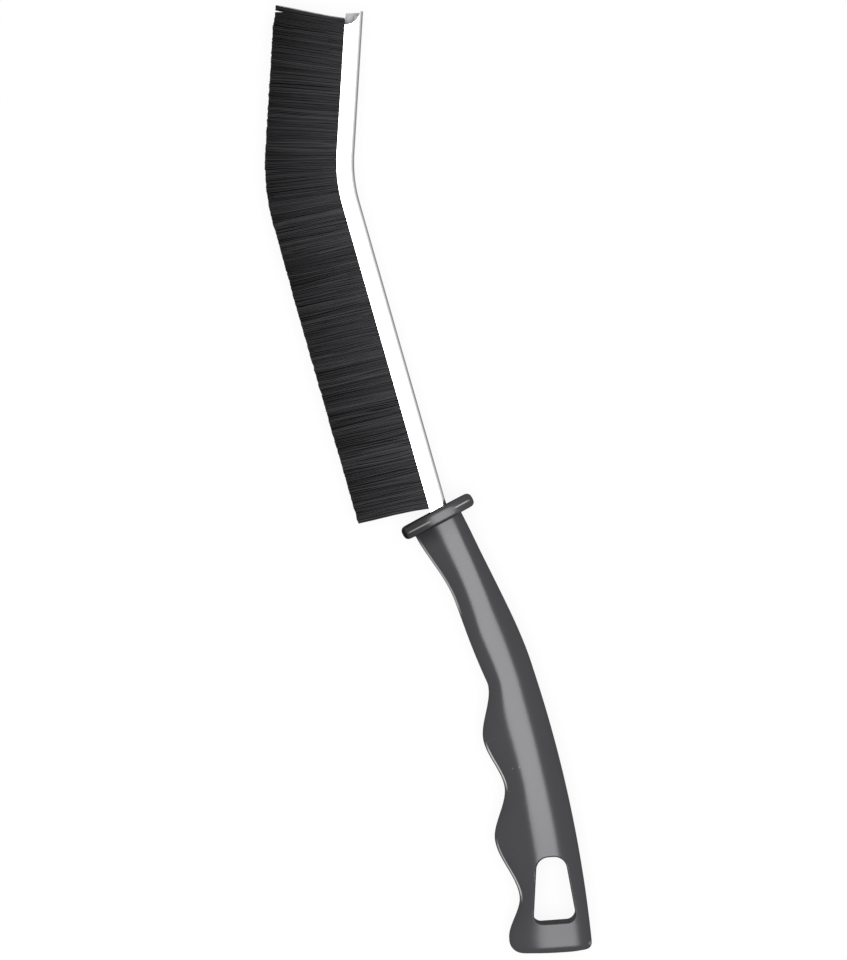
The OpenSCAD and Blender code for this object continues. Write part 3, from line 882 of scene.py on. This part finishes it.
# How light the strands are along the row, with clusters of painted sheen. The foremost ones at the tip are
# the palest, a painted rim highlight.
TONE_MARKS = [(0.0, 0.2), (REAR_RUN, 0.14), (BEND_END, 0.09), (ROW_END - 16, 0.08), (ROW_END - 5, 0.0)]
SHEEN_CLUSTER = 0.32
TONE_LIMIT = 0.5
RIM_HIGHLIGHT_TIP = 0.28
NYLON_STOPS = [(0.0, 0.008), (0.9, 0.077), (1.0, 0.45)]

# Where each leg of a strand has its points, as shares of the way from the strip to its end.
LEG_SHARES = (0.25, 0.5, PARTING_FROM, 1.0)

rng = random.Random(11)


def strand_lean(p):
    """Lean of the filaments towards the tip, in degrees."""
    if p < BEND_END:
        return easing(p, REAR_RUN, BEND_END, REAR_LEAN, FRONT_LEAN)
    return easing(p, BEND_END, PATH_END, FRONT_LEAN, TIP_LEAN)


def wave(p, size, pace, y, z):
    """A smooth random wave along the row, the same on each run."""
    return size * noise.noise(Vector((pace * p, y, z)))


def lean_drift(p):
    """How far the lean wanders along the row, in degrees. It settles towards both ends of the row."""
    fade = min(1.0, (p - COLLAR_BARE) / DRIFT_FADE, (ROW_END - p) / DRIFT_FADE)
    return max(0.0, fade) * sum(wave(p, *kind) for kind in LEAN_WAVES)


def parting_kick(p, height):
    """How far the strands beside the parting near the tip stand off it at their ends, in mm."""
    off = p - (ROW_END - PARTING) + PARTING_TILT * height
    return math.copysign(PARTING_KICK * math.exp(-abs(off) / PARTING_SPAN), off)


def strand_half(p, root, layer, side, lean, fan):
    """One leg of a folded strand, from beside the wire out to its tip."""
    beside = min(WIRE_R + STRAND_R * (1 + 2 * layer), STRIP_W / 2 - SHEET_T - STRAND_R)
    length = along(TRIM_MARKS, p) + wave(p, *TRIM_WAVE) + rng.uniform(-TRIM_JITTER, TRIM_JITTER)
    slope = math.tan(math.radians(lean))
    heel = math.exp((COLLAR_BARE - p) / HEEL_SPAN)
    bow = HEEL_BOW * heel + wave(p, *BOW_WAVE) + rng.uniform(-BOW_JITTER, BOW_JITTER)
    curl = wave(p, *CURL_WAVE) + rng.uniform(-CURL_JITTER, CURL_JITTER)
    height = side * fan
    points = [on_path(root, WIRE_U, side * beside)]
    if root < p:
        points.append(on_path(root, HALF_H - STRAND_R, height * MOUTH_SPREAD))
    points.append(on_path(p, HALF_H + STRAND_R * (root < p), height * MOUTH_SPREAD))
    for share in LEG_SHARES:
        sway = slope * length * share + bow * math.sin(math.pi * share)
        sway += curl * math.sin(2 * math.pi * share)
        sway += parting_kick(p, height) * max(0.0, share - PARTING_FROM) / (1 - PARTING_FROM)
        spread = height * (MOUTH_SPREAD + (TIP_SPREAD - MOUTH_SPREAD) * share)
        points.append(on_path(p, HALF_H + length * share, spread) + sway * forward(p))
    return points


def folded_strands(start, end):
    """The routes of the strands between two distances along the strip, tip to tip over the wire."""
    routes = []
    bite_from = PATH_END - TIP_BITE_R
    count = round((end - start) * PER_MM)
    for i in range(count):
        p = start + (end - start) * (i + rng.random()) / count
        root = min(p, bite_from - FOLD_BACK - rng.uniform(0.0, FOLD_BACK_JITTER) * (p > bite_from))
        layer = rng.choice((0, 0, 1))
        calm = min(1.0, abs(p - ROW_END + PARTING) / PARTING_CALM)
        calm = min(calm, (p - COLLAR_BARE) / END_CALM, (ROW_END - p) / END_CALM)
        lean = strand_lean(p) + lean_drift(p) + HEEL_LEAN * math.exp((COLLAR_BARE - p) / HEEL_SPAN)
        legs = []
        for side in (1, -1):
            own_lean = lean + rng.gauss(0, LEAN_JITTER) * calm
            legs.append(strand_half(p, root, layer, side, own_lean, rng.random() ** SPREAD_POWER))
        behind = on_path(root, WIRE_U - WIRE_R - STRAND_R * (1 + layer), 0)
        routes.append((p, legs[0][::-1] + [behind] + legs[1]))
    return routes


def strand_tone(p):
    """How light a strand is: its tone along the row and at random, clusters of lighter ones as painted
    sheen, and the foremost ones at the tip palest as a painted rim highlight.
    """
    # The foremost strands carry a painted rim highlight.
    if p > ROW_END - RIM_HIGHLIGHT_TIP:
        return 1.0
    cluster = sum(wave(p, *kind) for kind in SHEEN_CLUSTER_WAVES)
    tone = along(TONE_MARKS, p) + SHEEN_CLUSTER * cluster + rng.gauss(0, TONE_JITTER)
    return min(TONE_LIMIT, max(0.0, tone))


def nylon():
    """Black nylon filament: each strand has its own depth of black, with painted sheen that makes it paler
    near the sheet.
    """
    finish = Finish(bpy.data.materials.new("nylon"))
    speck = finish.noise(finish.place(), 1500, 2)
    depth = finish.mark("strand_tone") + finish.mark("near_sheet") * 0.42 + speck * 0.08 - 0.06
    colour = finish.ramp(depth, NYLON_STOPS)
    return finish.surface(
        finish.principled(Base_Color=colour, Roughness=0.42 + speck * 0.12, Specular_IOR_Level=0.12)
    )


nylon_finish = nylon()


def filament_piece(name, node, start, end):
    """One run of filaments, dressed and set on the body that carries it. Its mesh opens with the caps
    of all the strands, the last strand's first, and then has the rings of one strand after another."""
    strands = folded_strands(start, end)
    piece = tube_piece(name, [route for p, route in strands], STRAND_R, STRAND_ROUNDING)
    sides = len(piece.data.vertices) // sum(len(route) + 2 for p, route in strands)
    own_tones = [strand_tone(p) for p, route in strands]
    tones = [tone for tone in reversed(own_tones) for _ in range(2 * sides)]
    # Painted sheen: each leg is paler towards the sheet.
    sheen_nearness = [0.0] * len(tones)
    for tone, (p, route) in zip(own_tones, strands):
        leg = [1 - share for share in reversed(LEG_SHARES)]
        leg += [1.0] * (len(route) // 2 - len(leg))
        tones += [tone] * sides * len(route)
        sheen_nearness += [value for value in leg + [1.0] + leg[::-1] for _ in range(sides)]
    for mark, values in (("strand_tone", tones), ("near_sheet", sheen_nearness)):
        piece.data.attributes.new(mark, "FLOAT", "POINT").data.foreach_set("value", values)
    piece.data.materials.append(nylon_finish)
    piece.data.shade_smooth()
    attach(piece, "root")
    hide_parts(node)


filament_piece("strands_rear", "rear_filaments", COLLAR_BARE, REAR_RUN)
filament_piece("strands_bend", "bend_filaments", REAR_RUN, BEND_END)
filament_piece("strands_front", "front_filaments", BEND_END, ROW_END)

# The brush lies on a plain white floor and is photographed from straight above, with the camera
# rolled a little so that the strip's long run leans. A soft box hangs over the camera.
AIM = Vector((0.566, -0.288, 9.2)) * MM
ROLL = math.radians(16)
IMAGE_H = 960
PIXEL = 0.285
CAMERA_HEIGHT = 1.1
CLIP_START = 0.01
SENSOR = 24.0
BOX_SIZE = 0.8
BOX_HEIGHT = 1.25
BOX_SHIFT = 0.13
BOX_POWER = 13.1
FILL = 0.28
FLOOR_REACH = 3.0
FLOOR_DROP = 0.0002
FLOOR_WHITE = (0.8, 0.8, 0.8, 1)
FLOOR_SHADE = (0.12, 0.12, 0.12, 1)
FLOOR_GLOW = 0.89

camera_data = bpy.data.cameras.new("camera")
camera_data.sensor_fit = "VERTICAL"
camera_data.sensor_height = SENSOR
camera_data.lens = SENSOR * CAMERA_HEIGHT / (IMAGE_H * PIXEL * MM)
camera_data.clip_start = CLIP_START
camera = put_in_scene("camera", camera_data)
camera.location = AIM + Vector((0, 0, CAMERA_HEIGHT))
camera.rotation_euler = (0, 0, -ROLL)
bpy.context.scene.camera = camera

box_data = bpy.data.lights.new("soft_box", "AREA")
box_data.shape = "SQUARE"
box_data.size = BOX_SIZE
box_data.energy = BOX_POWER
box = put_in_scene("soft_box", box_data)
box.location = AIM + Vector((-math.sin(ROLL), -math.cos(ROLL), 0)) * BOX_SHIFT + Vector((0, 0, BOX_HEIGHT))
box.rotation_euler = (0, 0, -ROLL)
box.visible_camera = False


def shown_rays(finish):
    """1 for the rays by which the camera, gloss and clear things show the surroundings, or else 0."""
    kinds = ("Is Camera Ray", "Is Glossy Ray", "Is Transmission Ray")
    camera_ray, glossy_ray, clear_ray = [finish.node("ShaderNodeLightPath", {}, {}, kind) for kind in kinds]
    return finish.math("MAXIMUM", finish.math("MAXIMUM", camera_ray, glossy_ray), clear_ray)


studio = Finish(bpy.data.worlds.new("studio"))
shown = studio.node("ShaderNodeBackground", {}, {"Color": (1, 1, 1, 1), "Strength": 1.0})
fill = studio.node("ShaderNodeBackground", {}, {"Color": (1, 1, 1, 1), "Strength": FILL})
around = studio.node("ShaderNodeMixShader", {}, {0: shown_rays(studio), 1: fill, 2: shown})
studio.node("ShaderNodeOutputWorld", {}, {"Surface": around})
bpy.context.scene.world = studio.holder


def white_floor():
    """A matt white sheet that looks white to the camera and keeps a light shadow."""
    finish = Finish(bpy.data.materials.new("white_floor"))
    plain = finish.node("ShaderNodeBsdfDiffuse", {}, {"Color": FLOOR_WHITE})
    dim = finish.node("ShaderNodeBsdfDiffuse", {}, {"Color": FLOOR_SHADE})
    glow = finish.node("ShaderNodeEmission", {}, {"Color": (1, 1, 1, 1), "Strength": FLOOR_GLOW})
    seen = finish.node("ShaderNodeAddShader", {}, {0: dim, 1: glow})
    white = finish.node("ShaderNodeMixShader", {}, {0: shown_rays(finish), 1: plain, 2: seen})
    return finish.surface(white)


bm = bmesh.new()
bmesh.ops.create_grid(
    bm, x_segments=1, y_segments=1, size=FLOOR_REACH, matrix=Matrix.Translation((0, 0, -FLOOR_DROP))
)
floor_mesh = bpy.data.meshes.new("floor")
bm.to_mesh(floor_mesh)
bm.free()
floor_mesh.materials.append(white_floor())
floor = put_in_scene("floor", floor_mesh)

bpy.context.scene.view_settings.view_transform = "Standard"
